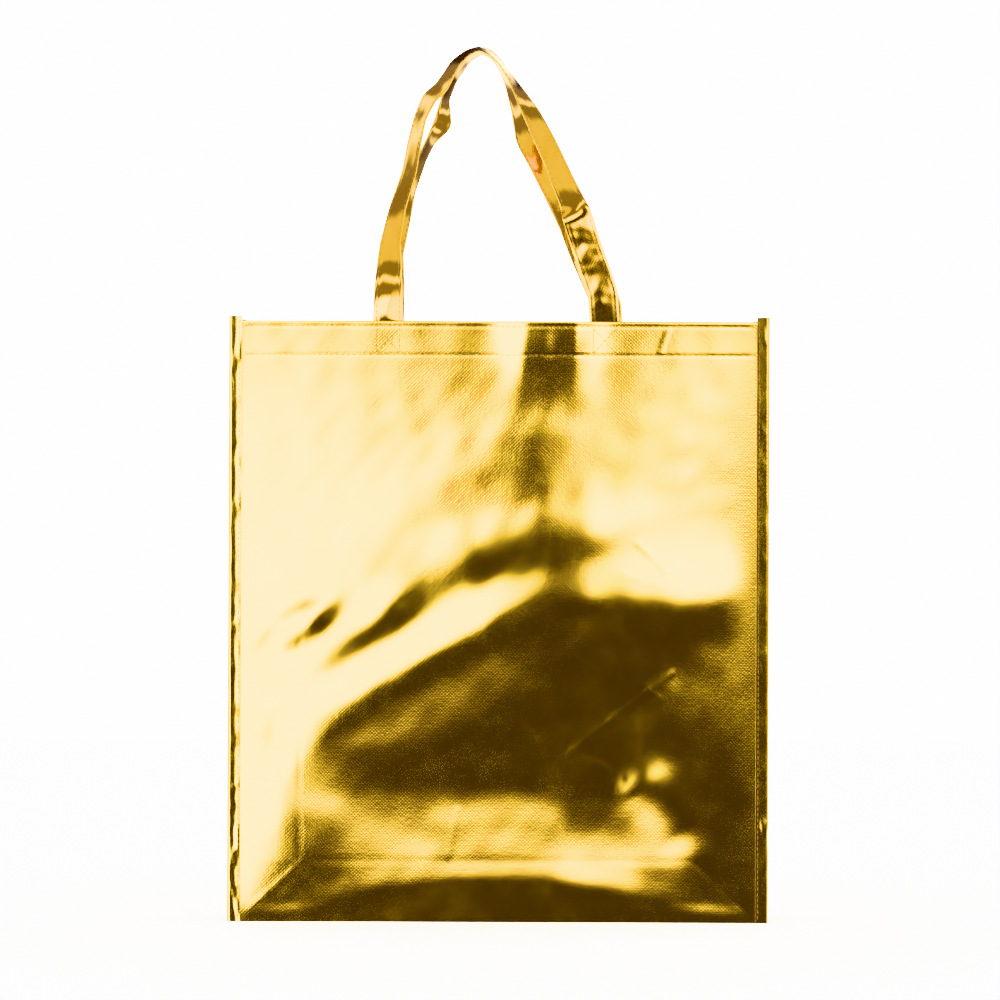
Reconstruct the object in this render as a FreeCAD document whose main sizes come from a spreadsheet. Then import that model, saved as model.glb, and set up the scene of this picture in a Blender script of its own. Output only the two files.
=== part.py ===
import FreeCAD, Part
import math
import os

import Sketcher

# Box-bottom gift bag in laminated fabric, millimetres.
# X runs left to right, -Y is the front, +Z is up. The origin is the middle of the underside.
# Every panel is a thin cloth layer. Seams stand out sideways in the plane of the front and back
# panels, wrapped in binding tape. The handles are flat straps sewn inside the hem.

DRIVING_SIZES = (
    ("seam_width", 345.0, "distance between the two side seams"),
    ("bag_height", 400.0, "base to top edge"),
    ("bag_depth", 80.0, "outer face of the front panel to outer face of the back panel"),
    ("cloth", 0.6, "thickness of one cloth layer and of the binding tape"),
    ("hem_depth", 25.0, "how far the top edge is folded down inside"),
    ("hem_row_upper", 3.5, "upper hem stitch row, below the top edge"),
    ("hem_row_lower", 22.6, "lower hem stitch row, below the top edge"),
    ("tape_width", 7.5, "how far a side seam and its tape stand out from the seam"),
    ("tape_lap", 1.0, "how far the tape laps over the panel, inwards of the seam"),
    ("tape_rise", 3.0, "how far the tape ends stand above the top edge"),
    ("gusset_fold", 12.0, "how far the gusset's centre crease sits inwards of the seam"),
    ("seam_gap", 0.3, "clearance between pieces that move apart"),
    ("strap_width", 20.0, "handle strap"),
    ("strap_thickness", 0.9, "handle strap, folded cloth"),
    ("strap_edge_row", 2.3, "strap stitch rows, in from the strap's edges"),
    ("thread_width", 0.5, "stitched row"),
    ("thread_height", 0.3, "stitched row, proud of the cloth"),
    ("front_left_x", 74.0, "front handle, left leg from the middle"),
    ("front_right_x", 70.0, "front handle, right leg from the middle"),
    ("back_left_x", 75.0, "back handle, left leg from the middle"),
    ("back_right_x", 73.5, "back handle, right leg from the middle"),
    ("box_seam_width", 16.0, "box-and-cross seam that holds a strap end"),
)

# Sizes that follow from the driving ones, as spreadsheet formulas.
DERIVED_SIZES = (
    ("half_depth", "=bag_depth / 2", "middle to the outer face of a panel"),
    ("seam_x", "=seam_width / 2", "middle to a side seam"),
    ("tape_x", "=seam_x + tape_width", "middle to the outer edge of the tape"),
    ("edge_x", "=tape_x - cloth", "middle to the raw edge inside the tape"),
    ("inner_y", "=half_depth - cloth", "middle to the inner face of a panel"),
    ("crease_x", "=seam_x - gusset_fold", "middle to the gusset's centre crease"),
    ("slope_run", "=cloth * sqrt(1 + (gusset_fold / half_depth) ^ 2)", "cloth measured along X"),
    ("base_top", "=2 * cloth", "upper face of the base's seam allowances, raised over the tape"),
    ("corner_y", "=half_depth - 3 * cloth - seam_gap", "half length of a base seam"),
    ("strap_face", "=half_depth - 2 * cloth", "middle to the strap's outer face"),
    ("strap_plane", "=strap_face - strap_thickness / 2", "middle to the strap's own middle"),
    ("tape_inner_x", "=seam_x + seam_gap", "inner leg of the tape, clear of the gusset"),
    ("seam_row_x", "=seam_x + thread_width", "stitch row along a side seam"),
)

# One handle's line, as (x, rise above the top edge, turn in degrees) from the left leg over the top.
# The strap faces forward at the hem (turn 0) and twists until it is nearly edge-on at the top, with
# its inner edge pushed outwards. The end points take their x from the spreadsheet.
FRONT_LINE = (
    (-74, 27, 25), (-73, 51, 46), (-68, 75, 60), (-60, 99, 67), (-55, 127, 76), (-47, 148, 72),
    (-33, 165, 70), (-14, 181, 76), (0, 171, 76), (11, 155, 70), (28, 123, 47), (42, 92, 30),
    (52, 68, 8), (60, 43, 5), (68, 20, 0),
)
BACK_LINE = (
    (-74, 27, 20), (-73, 50, 40), (-63, 90, 65), (-53, 113, 72), (-47, 125, 72), (-40, 139, 60),
    (-37, 153, 72), (-29, 167, 72), (-13, 181, 76), (-2, 170, 76), (8, 147, 66), (15, 123, 50),
    (35, 92, 40), (49, 66, 28), (59, 45, 15), (71, 18, 5),
)

FRONT, BACK = "-", "+"
LEFT, RIGHT = "-", "+"
SIDE_NAMES = {FRONT: "front", BACK: "back"}
HAND_NAMES = {LEFT: "left", RIGHT: "right"}

doc = FreeCAD.newDocument("gift_bag")
sheet = doc.addObject("Spreadsheet::Sheet", "Sizes")
subparts = []


def fill_sheet():
    """Write every size with its alias, and recompute so that formulas have values."""
    for row, (alias, value, meaning) in enumerate(DRIVING_SIZES + DERIVED_SIZES, start=1):
        sheet.set(f"A{row}", alias)
        sheet.set(f"B{row}", str(value))
        sheet.set(f"C{row}", meaning)
        sheet.setAlias(f"B{row}", alias)
    doc.recompute()


def size(alias):
    """A size as a number, for shapes that are worked out in code."""
    return float(sheet.get(alias))


def signed(sign, expression):
    """The expression on one side of the middle plane."""
    return f"{sign}({expression})"


def keep(shape_object, label):
    """Name a finished sub-part and put it on the list that is checked and written."""
    shape_object.Label = label
    subparts.append(shape_object)
    return shape_object


def bar(name, centre, extent):
    """A box bound to the sheet, given by its centre and its size along X, Y and Z."""
    box = doc.addObject("Part::Box", name)
    for prop, length in zip(("Length", "Width", "Height"), extent):
        box.setExpression(prop, length)
    for axis, middle, length in zip("xyz", centre, extent):
        box.setExpression(f"Placement.Base.{axis}", f"({middle}) - ({length}) / 2")
    return box


def group(name, members):
    """Several separate solids as one sub-part."""
    compound = doc.addObject("Part::Compound", name)
    compound.Links = members
    return compound


def outline(body, name, plane_role, corners):
    """A closed sketch of straight lines whose corners are all bound to the sheet."""
    sketch = body.newObject("Sketcher::SketchObject", name)
    plane = next(item for item in body.Origin.OriginFeatures if item.Role == plane_role)
    sketch.AttachmentSupport = [(plane, "")]
    sketch.MapMode = "FlatFace"
    count = len(corners)
    ring = [
        FreeCAD.Vector(math.cos(math.tau * i / count), math.sin(math.tau * i / count), 0)
        for i in range(count)
    ]
    for i in range(count):
        sketch.addGeometry(Part.LineSegment(ring[i], ring[(i + 1) % count]), False)
    for i in range(count):
        sketch.addConstraint(Sketcher.Constraint("Coincident", i, 2, (i + 1) % count, 1))
    for i, place in enumerate(corners):
        for kind, start, expression in zip(("DistanceX", "DistanceY"), ring[i], place):
            index = sketch.addConstraint(Sketcher.Constraint(kind, -1, 1, i, 1, start))
            sketch.setExpression(f"Constraints[{index}]", expression)
    return sketch


def extrude(body, kind, name, sketch, length, both_ways=False, reverse=False):
    """A pad or pocket of one sketch, bound to the sheet."""
    feature = body.newObject(f"PartDesign::{kind}", name)
    feature.Profile = sketch
    feature.SideType = "Symmetric" if both_ways else "One side"
    feature.Reversed = reverse
    feature.setExpression("Length", length)
    sketch.Visibility = False
    return feature


def rectangle(low_u, high_u, low_v, high_v):
    """The four corners of a rectangle in a sketch."""
    return ((low_u, low_v), (high_u, low_v), (high_u, high_v), (low_u, high_v))


def lift(sketch, height):
    """Raise a sketch on the ground plane to a height."""
    sketch.setExpression("AttachmentOffset.Base.z", height)


def make_panel(side):
    """Front or back panel: one cloth layer, and the hem folded down inside it."""
    name = SIDE_NAMES[side]
    body = doc.addObject("PartDesign::Body", f"{name}_panel")
    outer, inner = signed(side, "Sizes.half_depth"), signed(side, "Sizes.inner_y")
    hem_inner = signed(side, "Sizes.strap_face")
    layer = outline(
        body, f"{name}_panel_section", "YZ_Plane",
        rectangle(outer, inner, "0", "Sizes.bag_height"),
    )
    extrude(body, "Pad", f"{name}_panel_layer", layer, "2 * Sizes.edge_x", both_ways=True)
    hem = outline(
        body, f"{name}_hem_section", "YZ_Plane",
        rectangle(inner, hem_inner, "Sizes.bag_height - Sizes.hem_depth", "Sizes.bag_height"),
    )
    hem_width = "2 * (Sizes.seam_x - Sizes.tape_lap - Sizes.cloth)"
    extrude(body, "Pad", f"{name}_hem", hem, hem_width, both_ways=True)
    keep(body, f"{name}_panel")


def make_base():
    """Base panel: the flat underside, and a raised seam allowance at each end under the tape."""
    body = doc.addObject("PartDesign::Body", "base_panel")
    tape_start = "Sizes.seam_x - Sizes.tape_lap"
    middle = outline(
        body, "base_middle_section", "YZ_Plane",
        rectangle("-Sizes.inner_y", "Sizes.inner_y", "0", "Sizes.cloth"),
    )
    extrude(body, "Pad", "base_middle", middle, f"2 * ({tape_start})", both_ways=True)
    for hand in (LEFT, RIGHT):
        name = f"base_{HAND_NAMES[hand]}_allowance"
        start, end = signed(hand, f"{tape_start} - Sizes.cloth"), signed(hand, "Sizes.edge_x")
        allowance = outline(
            body, f"{name}_section", "XZ_Plane",
            rectangle(start, end, "Sizes.cloth", "Sizes.base_top"),
        )
        extrude(body, "Pad", name, allowance, "2 * Sizes.corner_y", both_ways=True)
    keep(body, "base_panel")


def gusset_plan(hand, shift):
    """Plan of the space inside a gusset, out to its V-creased wall moved inwards by shift."""
    core = signed(hand, "Sizes.crease_x - Sizes.gusset_fold")
    seam = signed(hand, f"Sizes.seam_x - {shift}")
    crease = signed(hand, f"Sizes.crease_x - {shift}")
    return (
        (core, "-Sizes.inner_y"), (seam, "-Sizes.inner_y"), (crease, "0"),
        (seam, "Sizes.inner_y"), (core, "Sizes.inner_y"),
    )


def gusset_foot(hand, shift):
    """Side view of the space inside a gusset's foot, out to its sloping triangle."""
    core = signed(hand, "Sizes.crease_x - Sizes.gusset_fold")
    seam = signed(hand, f"Sizes.seam_x - {shift}")
    crease = signed(hand, f"Sizes.crease_x - {shift}")
    low, high = "Sizes.base_top", "Sizes.base_top + Sizes.inner_y"
    return ((core, low), (seam, low), (crease, high), (core, high))


def make_gusset(hand):
    """Side gusset: a thin wall creased inwards along its middle, with a sloping triangle at its
    foot between two 45 degree creases, and flat seam allowances along both sides and the base."""
    name = f"{HAND_NAMES[hand]}_gusset"
    body = doc.addObject("PartDesign::Body", name)
    wall_height = "Sizes.bag_height - Sizes.base_top"
    for kind, shift, label in (("Pad", "0", "outside"), ("Pocket", "Sizes.slope_run", "inside")):
        plan = outline(body, f"{name}_{label}_plan", "XY_Plane", gusset_plan(hand, shift))
        lift(plan, "Sizes.base_top")
        foot = outline(body, f"{name}_{label}_foot", "XZ_Plane", gusset_foot(hand, shift))
        carves = kind == "Pocket"
        extrude(body, kind, f"{name}_{label}_wall", plan, wall_height, reverse=carves)
        extrude(body, kind, f"{name}_{label}_heel", foot, "2 * Sizes.inner_y", both_ways=True)
    near, far = signed(hand, "Sizes.seam_x - Sizes.cloth"), signed(hand, "Sizes.edge_x")
    for side in (FRONT, BACK):
        edge = SIDE_NAMES[side]
        allowance = outline(
            body, f"{name}_{edge}_allowance_plan", "XY_Plane",
            rectangle(near, far, signed(side, "Sizes.inner_y"), signed(side, "Sizes.strap_face")),
        )
        lift(allowance, "Sizes.base_top")
        extrude(body, "Pad", f"{name}_{edge}_allowance", allowance, wall_height)
    sole = outline(
        body, f"{name}_sole_section", "XZ_Plane",
        rectangle(near, far, "Sizes.base_top", "Sizes.base_top + Sizes.cloth"),
    )
    extrude(body, "Pad", f"{name}_sole", sole, "2 * Sizes.corner_y", both_ways=True)
    keep(body, name)


def tape_section(outer_start, inner_start, outer_face, edge, turn, outer_layer, stack, inner_face):
    """Section of a tape folded over an edge: two legs joined by a turn at the far end."""
    return (
        (outer_start, outer_face), (edge, outer_face), (edge, inner_face), (inner_start, inner_face),
        (inner_start, stack), (turn, stack), (turn, outer_layer), (outer_start, outer_layer),
    )


def make_side_binding(side, hand):
    """Binding tape folded over one vertical seam, standing a little above the top edge."""
    name = f"{SIDE_NAMES[side]}_{HAND_NAMES[hand]}_binding"
    body = doc.addObject("PartDesign::Body", name)
    section = tape_section(
        signed(hand, "Sizes.seam_x - Sizes.tape_lap"), signed(hand, "Sizes.tape_inner_x"),
        signed(side, "Sizes.half_depth + Sizes.cloth"), signed(hand, "Sizes.tape_x"),
        signed(hand, "Sizes.edge_x"), signed(side, "Sizes.half_depth"),
        signed(side, "Sizes.strap_face"), signed(side, "Sizes.strap_face - Sizes.cloth"),
    )
    plan = outline(body, f"{name}_plan", "XY_Plane", section)
    extrude(body, "Pad", f"{name}_tape", plan, "Sizes.bag_height + Sizes.tape_rise")
    keep(body, name)


def make_base_binding(hand):
    """Binding tape folded over the seam between a gusset and the base."""
    name = f"{HAND_NAMES[hand]}_base_binding"
    body = doc.addObject("PartDesign::Body", name)
    section = tape_section(
        signed(hand, "Sizes.seam_x - Sizes.tape_lap"), signed(hand, "Sizes.tape_inner_x"),
        "0", signed(hand, "Sizes.tape_x"), signed(hand, "Sizes.edge_x"), "Sizes.cloth",
        "Sizes.base_top + Sizes.cloth", "Sizes.base_top + 2 * Sizes.cloth",
    )
    profile = outline(body, f"{name}_section", "XZ_Plane", section)
    extrude(body, "Pad", f"{name}_tape", profile, "2 * Sizes.corner_y", both_ways=True)
    keep(body, name)


def leg_position(side, hand):
    """Where a handle leg stands, as an expression along X."""
    return signed(hand, f"Sizes.{SIDE_NAMES[side]}_{HAND_NAMES[hand]}_x")


def make_strap_end(side, hand):
    """Sewn end of a strap, inside the hem."""
    name = f"{SIDE_NAMES[side]}_handle_{HAND_NAMES[hand]}_end"
    centre = (
        leg_position(side, hand), signed(side, "Sizes.strap_plane"),
        "Sizes.bag_height - Sizes.hem_depth / 2",
    )
    extent = ("Sizes.strap_width", "Sizes.strap_thickness", "Sizes.hem_depth")
    keep(bar(name, centre, extent), name)


def make_hem_stitching(side):
    """Two rows of stitching along the hem, on the outside of the panel."""
    name = f"{SIDE_NAMES[side]}_hem_stitching"
    face = signed(side, "Sizes.half_depth + Sizes.thread_height / 2")
    length = "2 * (Sizes.seam_x - Sizes.tape_lap - Sizes.cloth)"
    rows = [
        bar(
            f"{name}_{row}", ("0", face, f"Sizes.bag_height - Sizes.hem_row_{row}"),
            (length, "Sizes.thread_height", "Sizes.thread_width"),
        )
        for row in ("upper", "lower")
    ]
    keep(group(name, rows), name)


def make_box_stitching(side, hand):
    """Box-and-cross seam over a strap end: two uprights with a cross between the hem rows."""
    name = f"{SIDE_NAMES[side]}_handle_{HAND_NAMES[hand]}_stitching"
    face = signed(side, "Sizes.half_depth + Sizes.thread_height / 2")
    leg = leg_position(side, hand)
    middle_z = "Sizes.bag_height - (Sizes.hem_row_upper + Sizes.hem_row_lower) / 2"
    clear = "(Sizes.thread_width + 2 * Sizes.seam_gap)"
    upright_height = f"Sizes.hem_row_lower - Sizes.hem_row_upper - {clear}"
    upright = ("Sizes.thread_width", "Sizes.thread_height", upright_height)
    pieces = [
        bar(f"{name}_{HAND_NAMES[edge]}", (f"{leg} {edge} Sizes.box_seam_width / 2", face, middle_z), upright)
        for edge in (LEFT, RIGHT)
    ]
    gap = size("thread_width") + 2 * size("seam_gap")
    span = size("box_seam_width") - gap
    rise = size("hem_row_lower") - size("hem_row_upper") - gap
    reach = math.hypot(span, rise) - size("thread_width")
    thread = FreeCAD.Vector(reach, size("thread_height"), size("thread_width"))
    middle_x = size(f"{SIDE_NAMES[side]}_{HAND_NAMES[hand]}_x") * (1 if hand == RIGHT else -1)
    middle_y = (size("half_depth") + size("thread_height") / 2) * (1 if side == BACK else -1)
    centre = FreeCAD.Vector(
        middle_x, middle_y, size("bag_height") - (size("hem_row_upper") + size("hem_row_lower")) / 2
    )
    slope = math.degrees(math.atan2(rise, span))
    diagonals = []
    for angle in (slope, -slope):
        diagonal = Part.makeBox(thread.x, thread.y, thread.z, -thread / 2)
        diagonal.Placement = FreeCAD.Placement(
            centre, FreeCAD.Rotation(FreeCAD.Vector(0, 1, 0), angle)
        )
        diagonals.append(diagonal)
    cross = doc.addObject("Part::Feature", f"{name}_cross")
    cross.Shape = diagonals[0].fuse(diagonals[1]).removeSplitter()
    keep(group(name, pieces + [cross]), name)


def make_side_stitching(side, hand):
    """Stitch row along the binding of one side seam."""
    name = f"{SIDE_NAMES[side]}_{HAND_NAMES[hand]}_binding_stitching"
    face = signed(side, "Sizes.half_depth + Sizes.cloth + Sizes.thread_height / 2")
    length = "Sizes.bag_height + Sizes.tape_rise - 2 * Sizes.tape_lap"
    centre = (signed(hand, "Sizes.seam_row_x"), face, "(Sizes.bag_height + Sizes.tape_rise) / 2")
    keep(bar(name, centre, ("Sizes.thread_width", "Sizes.thread_height", length)), name)


def make_base_stitching(hand):
    """Stitch row along a base binding, on its upper leg."""
    name = f"{HAND_NAMES[hand]}_base_binding_stitching"
    row_x = signed(hand, "Sizes.tape_inner_x + Sizes.tape_lap")
    centre = (row_x, "0", "Sizes.base_top + 2 * Sizes.cloth + Sizes.thread_height / 2")
    length = "2 * (Sizes.corner_y - Sizes.tape_lap)"
    keep(bar(name, centre, ("Sizes.thread_width", length, "Sizes.thread_height")), name)


def strap_frames(side, line):
    """Centre, width direction and thickness direction of the strap at every point of its line.
    The width runs from the loop's outer edge to its inner edge, the thickness runs outwards."""
    name = SIDE_NAMES[side]
    outward = FreeCAD.Vector(0, -1 if side == FRONT else 1, 0)
    foot = FreeCAD.Vector(0, 0, size("bag_height") + size("seam_gap"))
    ends = ((-size(f"{name}_left_x"), 0, 0),), ((size(f"{name}_right_x"), 0, 0),)
    points = ends[0] + line + ends[1]
    places = [foot + FreeCAD.Vector(x, 0, rise) for x, rise, turn in points]
    frames = []
    for i, (x, rise, turn) in enumerate(points):
        along = places[min(i + 1, len(points) - 1)] - places[max(i - 1, 0)]
        if i in (0, len(points) - 1):
            along = FreeCAD.Vector(0, 0, 1 if i == 0 else -1)
        along.normalize()
        inward = FreeCAD.Vector(along.z, 0, -along.x)
        angle = math.radians(turn)
        across = inward * math.cos(angle) + outward * math.sin(angle)
        through = outward * math.cos(angle) - inward * math.sin(angle)
        bulge = size("strap_plane") + size("strap_width") / 2 * math.sin(angle)
        frames.append((places[i] + outward * bulge, across, through))
    return frames


def ribbon(frames, across_from, across_to, through_from, through_to):
    """A solid that follows the frames, between two offsets across and two through the strap."""
    sections = []
    for centre, across, through in frames:
        corners = [
            centre + across * u + through * v
            for u, v in (
                (across_from, through_from), (across_to, through_from),
                (across_to, through_to), (across_from, through_to),
            )
        ]
        sections.append(Part.makePolygon(corners + corners[:1]))
    spans = [Part.makeLoft([low, high], True, True) for low, high in zip(sections, sections[1:])]
    return spans[0].multiFuse(spans[1:])


def make_handle(side, line):
    """Handle loop, and the two stitch rows on its outer face."""
    name = f"{SIDE_NAMES[side]}_handle"
    frames = strap_frames(side, line)
    half_width, half_thickness = size("strap_width") / 2, size("strap_thickness") / 2
    loop = doc.addObject("Part::Feature", name)
    loop.Shape = ribbon(frames, -half_width, half_width, -half_thickness, half_thickness)
    keep(loop, name)
    row_middle = half_width - size("strap_edge_row")
    half_thread = size("thread_width") / 2
    top = half_thickness + size("thread_height")
    rows = []
    for edge, middle in (("outer", -row_middle), ("inner", row_middle)):
        row = doc.addObject("Part::Feature", f"{name}_{edge}_row")
        row.Shape = ribbon(frames, middle - half_thread, middle + half_thread, half_thickness, top)
        rows.append(row)
    keep(group(f"{name}_stitching", rows), f"{name}_stitching")
    centres = [frame[0] for frame in frames]
    length = sum((b - a).Length for a, b in zip(centres, centres[1:]))
    print(f"{name}: loop {length:.0f} mm long, {loop.Shape.Volume:.0f} mm3")


def check_everything():
    """Stop before anything is written if a feature failed or a sub-part is not sound."""
    doc.recompute()
    for item in doc.Objects:
        if "Invalid" in item.State or "Error" in item.State:
            raise RuntimeError(f"{item.Name} failed: {item.State}")
    for part in subparts:
        if part.Shape.isNull() or not part.Shape.isValid() or not part.Shape.Solids:
            raise RuntimeError(f"{part.Label} has no sound shape")


def write_parts():
    """Write each sub-part to its own file."""
    os.makedirs("parts", exist_ok=True)
    for part in subparts:
        part.Shape.exportStep(f"parts/{part.Label}.step")
    print(f"{len(subparts)} sub-parts written")


fill_sheet()
make_base()
for side in (FRONT, BACK):
    make_panel(side)
    make_hem_stitching(side)
for hand in (LEFT, RIGHT):
    make_gusset(hand)
    make_base_binding(hand)
    make_base_stitching(hand)
    for side in (FRONT, BACK):
        make_side_binding(side, hand)
        make_side_stitching(side, hand)
        make_strap_end(side, hand)
        make_box_stitching(side, hand)
make_handle(FRONT, FRONT_LINE)
make_handle(BACK, BACK_LINE)
check_everything()
write_parts()
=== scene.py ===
"""The looks of a gold non-woven gift bag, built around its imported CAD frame."""

import math

import bpy
import numpy as np
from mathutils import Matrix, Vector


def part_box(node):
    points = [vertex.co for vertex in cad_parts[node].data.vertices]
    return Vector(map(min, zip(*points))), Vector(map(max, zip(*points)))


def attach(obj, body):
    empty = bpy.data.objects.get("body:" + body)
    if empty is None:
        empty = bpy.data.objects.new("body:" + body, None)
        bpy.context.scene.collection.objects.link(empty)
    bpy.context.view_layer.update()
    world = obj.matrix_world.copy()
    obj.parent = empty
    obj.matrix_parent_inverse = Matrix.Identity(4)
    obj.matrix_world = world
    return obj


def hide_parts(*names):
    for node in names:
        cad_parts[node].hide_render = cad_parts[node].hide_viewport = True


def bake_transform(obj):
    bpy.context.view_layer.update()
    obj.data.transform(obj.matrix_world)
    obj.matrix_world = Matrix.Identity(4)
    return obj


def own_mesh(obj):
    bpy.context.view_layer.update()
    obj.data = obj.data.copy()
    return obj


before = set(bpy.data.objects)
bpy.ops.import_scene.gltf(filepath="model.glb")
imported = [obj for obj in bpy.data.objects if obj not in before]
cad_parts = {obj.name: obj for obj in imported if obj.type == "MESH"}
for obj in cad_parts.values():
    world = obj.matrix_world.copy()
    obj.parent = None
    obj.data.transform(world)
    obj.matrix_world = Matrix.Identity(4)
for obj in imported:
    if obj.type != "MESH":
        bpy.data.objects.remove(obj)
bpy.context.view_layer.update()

MM = 0.001
FRONT, BACK = -1, 1  # the way each panel faces along Y
LEFT, RIGHT = -1, 1  # the side of the bag along X
SIDE_NAMES = {FRONT: "front", BACK: "back"}
END_NAMES = {LEFT: "left", RIGHT: "right"}

# ---------------------------------------------------------------- sizes read from the frame

panel_low, panel_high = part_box("front_panel")
tape_low, tape_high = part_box("front_right_binding")
gusset_low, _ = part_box("right_gusset")
strap_low, strap_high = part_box("front_handle_left_end")

BAG_HEIGHT = panel_high.z
PANEL_PLANE = -panel_low.y  # outer face of each panel, from the middle of the bag
CUT_HALF_WIDTH = panel_high.x
SEAM_X = tape_low.x  # where the binding tape starts
TAPE_EDGE_X = tape_high.x
TAPE_TOP = tape_high.z
CREASE_X = gusset_low.x
STRAP_WIDTH = strap_high.x - strap_low.x
STRAP_THICKNESS = strap_high.y - strap_low.y
STRAP_PLANE = -(strap_high.y + strap_low.y) / 2
HEM_FOOT = strap_low.z

# ---------------------------------------------------------------- sizes that only the looks need

CLOTH = 0.5 * MM
LAYER_GAP = 0.1 * MM
GRID_STEP = 1.9 * MM
STITCH_PITCH = 3.8 * MM
THREAD = 0.62 * MM
HEM_ROWS = (BAG_HEIGHT - 3.5 * MM, BAG_HEIGHT - 22.6 * MM)
STRAP_ROW = 2.3 * MM
BASE_CREASE = 41 * MM
SEAM_ROW_X = 173.0 * MM
SHARP_ANGLE = math.radians(38)  # edges steeper than this stay sharp


# ---------------------------------------------------------------- curves and folds

def ease(t):
    """A smooth step from 0 to 1."""
    t = np.clip(t, 0, 1)
    return t * t * (3 - 2 * t)


def through_points(at, stations):
    """A smooth curve through (place, value) stations, read at the places in at."""
    places, values = (np.array(column, float) for column in zip(*stations))
    slopes = np.gradient(values, places)
    at = np.clip(at, places[0], places[-1])
    k = np.clip(np.searchsorted(places, at) - 1, 0, len(places) - 2)
    gap = places[k + 1] - places[k]
    t = (at - places[k]) / gap
    return (
        (2 * t**3 - 3 * t**2 + 1) * values[k]
        + (t**3 - 2 * t**2 + t) * gap * slopes[k]
        + (3 * t**2 - 2 * t**3) * values[k + 1]
        + (t**3 - t**2) * gap * slopes[k + 1]
    )


def fold(x, z, start, end, width, height, bow=0.0, lean=0.0):
    """A soft ridge from start to end, round across and fading at both ends.
    bow bends its line sideways. lean makes one flank steeper. Sizes are in millimetres."""
    (x0, z0), (x1, z1) = (np.array(p) * MM for p in (start, end))
    run = math.hypot(x1 - x0, z1 - z0)
    along = ((x - x0) * (x1 - x0) + (z - z0) * (z1 - z0)) / run**2
    off = ((z - z0) * (x1 - x0) - (x - x0) * (z1 - z0)) / run - bow * MM * 4 * along * (1 - along)
    fade = np.exp(-np.maximum(0, np.abs(along - 0.5) - 0.25) ** 2 / 0.05)
    width = width * MM * np.where(off > 0, 1 + lean, 1 - lean)
    return height * MM * fade * np.exp(-((off / width) ** 2))


def crease(x, z, start, end, width, height):
    """A sharp line pressed into the cloth: a narrow tent between two points, in millimetres."""
    (x0, z0), (x1, z1) = (np.array(p) * MM for p in (start, end))
    run = math.hypot(x1 - x0, z1 - z0)
    along = np.clip(((x - x0) * (x1 - x0) + (z - z0) * (z1 - z0)) / run**2, 0, 1)
    off = np.hypot(x - x0 - along * (x1 - x0), z - z0 - along * (z1 - z0))
    return height * MM * np.maximum(0, 1 - off / (width * MM))


def crumple(a, b, size, depth, seed, turns=7):
    """Facets with sharp edges between them, as thin stiff cloth makes when it is pushed about."""
    random = np.random.default_rng(seed)
    total = 0
    for step in range(turns):
        angle = random.uniform(0, math.pi)
        length = size * random.uniform(0.6, 1.8)
        phase = random.uniform(0, 1)
        sideways = a * math.sin(angle) - b * math.cos(angle)
        warp = 0.35 * np.sin(2 * math.pi * sideways / (2.7 * length) + step)
        wave = (a * math.cos(angle) + b * math.sin(angle)) / length + phase + warp
        total = total + np.abs(2 * (wave - np.floor(wave)) - 1) * random.uniform(0.4, 1)
    return depth * (total / turns - 0.35)


# ---------------------------------------------------------------- the relief of each panel

# Stations up the middle of a panel: height above the foot and how far it stands out, in millimetres.
CROWN = (
    (0, 0), (18, 0.15), (28, 0.35), (41, 1.4), (64, 3.4), (88, 5.4), (120, 6.0),
    (200, 7.1), (260, 6.8), (330, 4.9), (400, 2.3),
)

# Each fold is (start, end, width, height, bow, lean), in millimetres from the middle of the foot.
FRONT_FOLDS = (
    ((-175, 105), (45, 222), 30, 3.2, 0, -0.25),  # the long swell that climbs to the right
    ((20, 214), (190, 218), 24, 1.7),  # its level end
    ((-150, 155), (-56, 221), 14, 1.45),  # two short strokes at the left
    ((-200, 156), (-106, 214), 14, 2.5),
    ((-54, 240), (92, 264), 20, 1.35),
    ((-120, 225), (0, 320), 24, 0.4),
    ((5, 412), (66, 408), 44, 2.2),  # the lobe under the middle of the hem
    ((8, 386), (36, 384), 12, 0.25),
    ((24, 250), (24, 345), 38, 0.8),
    ((88, 102), (130, 48), 19, 1.25),
    ((95, 120), (120, 165), 13, 0.18),
    ((100, 200), (175, 150), 26, 0.5),  # mottling at the right
    ((95, 140), (165, 118), 22, 0.45),
    ((60, 160), (95, 200), 14, 0.25),
    ((36, 58), (100, 56), 26, 1.0),  # lets the dark reach lower at the right
    ((-110, 70), (-40, 62), 22, 0.4),
)
BACK_FOLDS = (
    ((-150, 230), (60, 130), 28, 2.0, 0, 0.2),
    ((-20, 120), (150, 60), 20, 1.4),
    ((-130, 330), (20, 300), 16, 0.9),
    ((40, 410), (30, 300), 20, -0.8),
    ((70, 290), (150, 210), 14, 0.9),
    ((-140, 90), (-60, 120), 14, 1.0),
)
PANEL_FOLDS = {FRONT: FRONT_FOLDS, BACK: BACK_FOLDS}

# Each crease is (start, end, width, height), in millimetres.
FLAT_PACK_CREASES = (
    ((-132, 41), (-132, 190), 2.2, -0.04),
    ((134, 41), (134, 190), 2.2, -0.04),
    ((-172, 41), (172, 41), 1.9, 0.07),
    ((-172, 2), (-131, 39), 2.4, 0.12),
    ((172, 2), (133, 39), 2.4, 0.12),
)


HEM_PULLS = tuple(((-172, row / MM), (172, row / MM), 1.6, -0.08) for row in HEM_ROWS)

RIPPLE_COUNT = 14
RIPPLE_STEEPNESS = 0.00025  # height of a ripple over its length
RIPPLE_SEED = 7
FOOT_HELD = 14 * MM  # the foot seam holds a panel flat up to here
FOLDS_HELD = 30 * MM  # folds fade this far from the side seams
CREASES_HELD = 8 * MM

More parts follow.
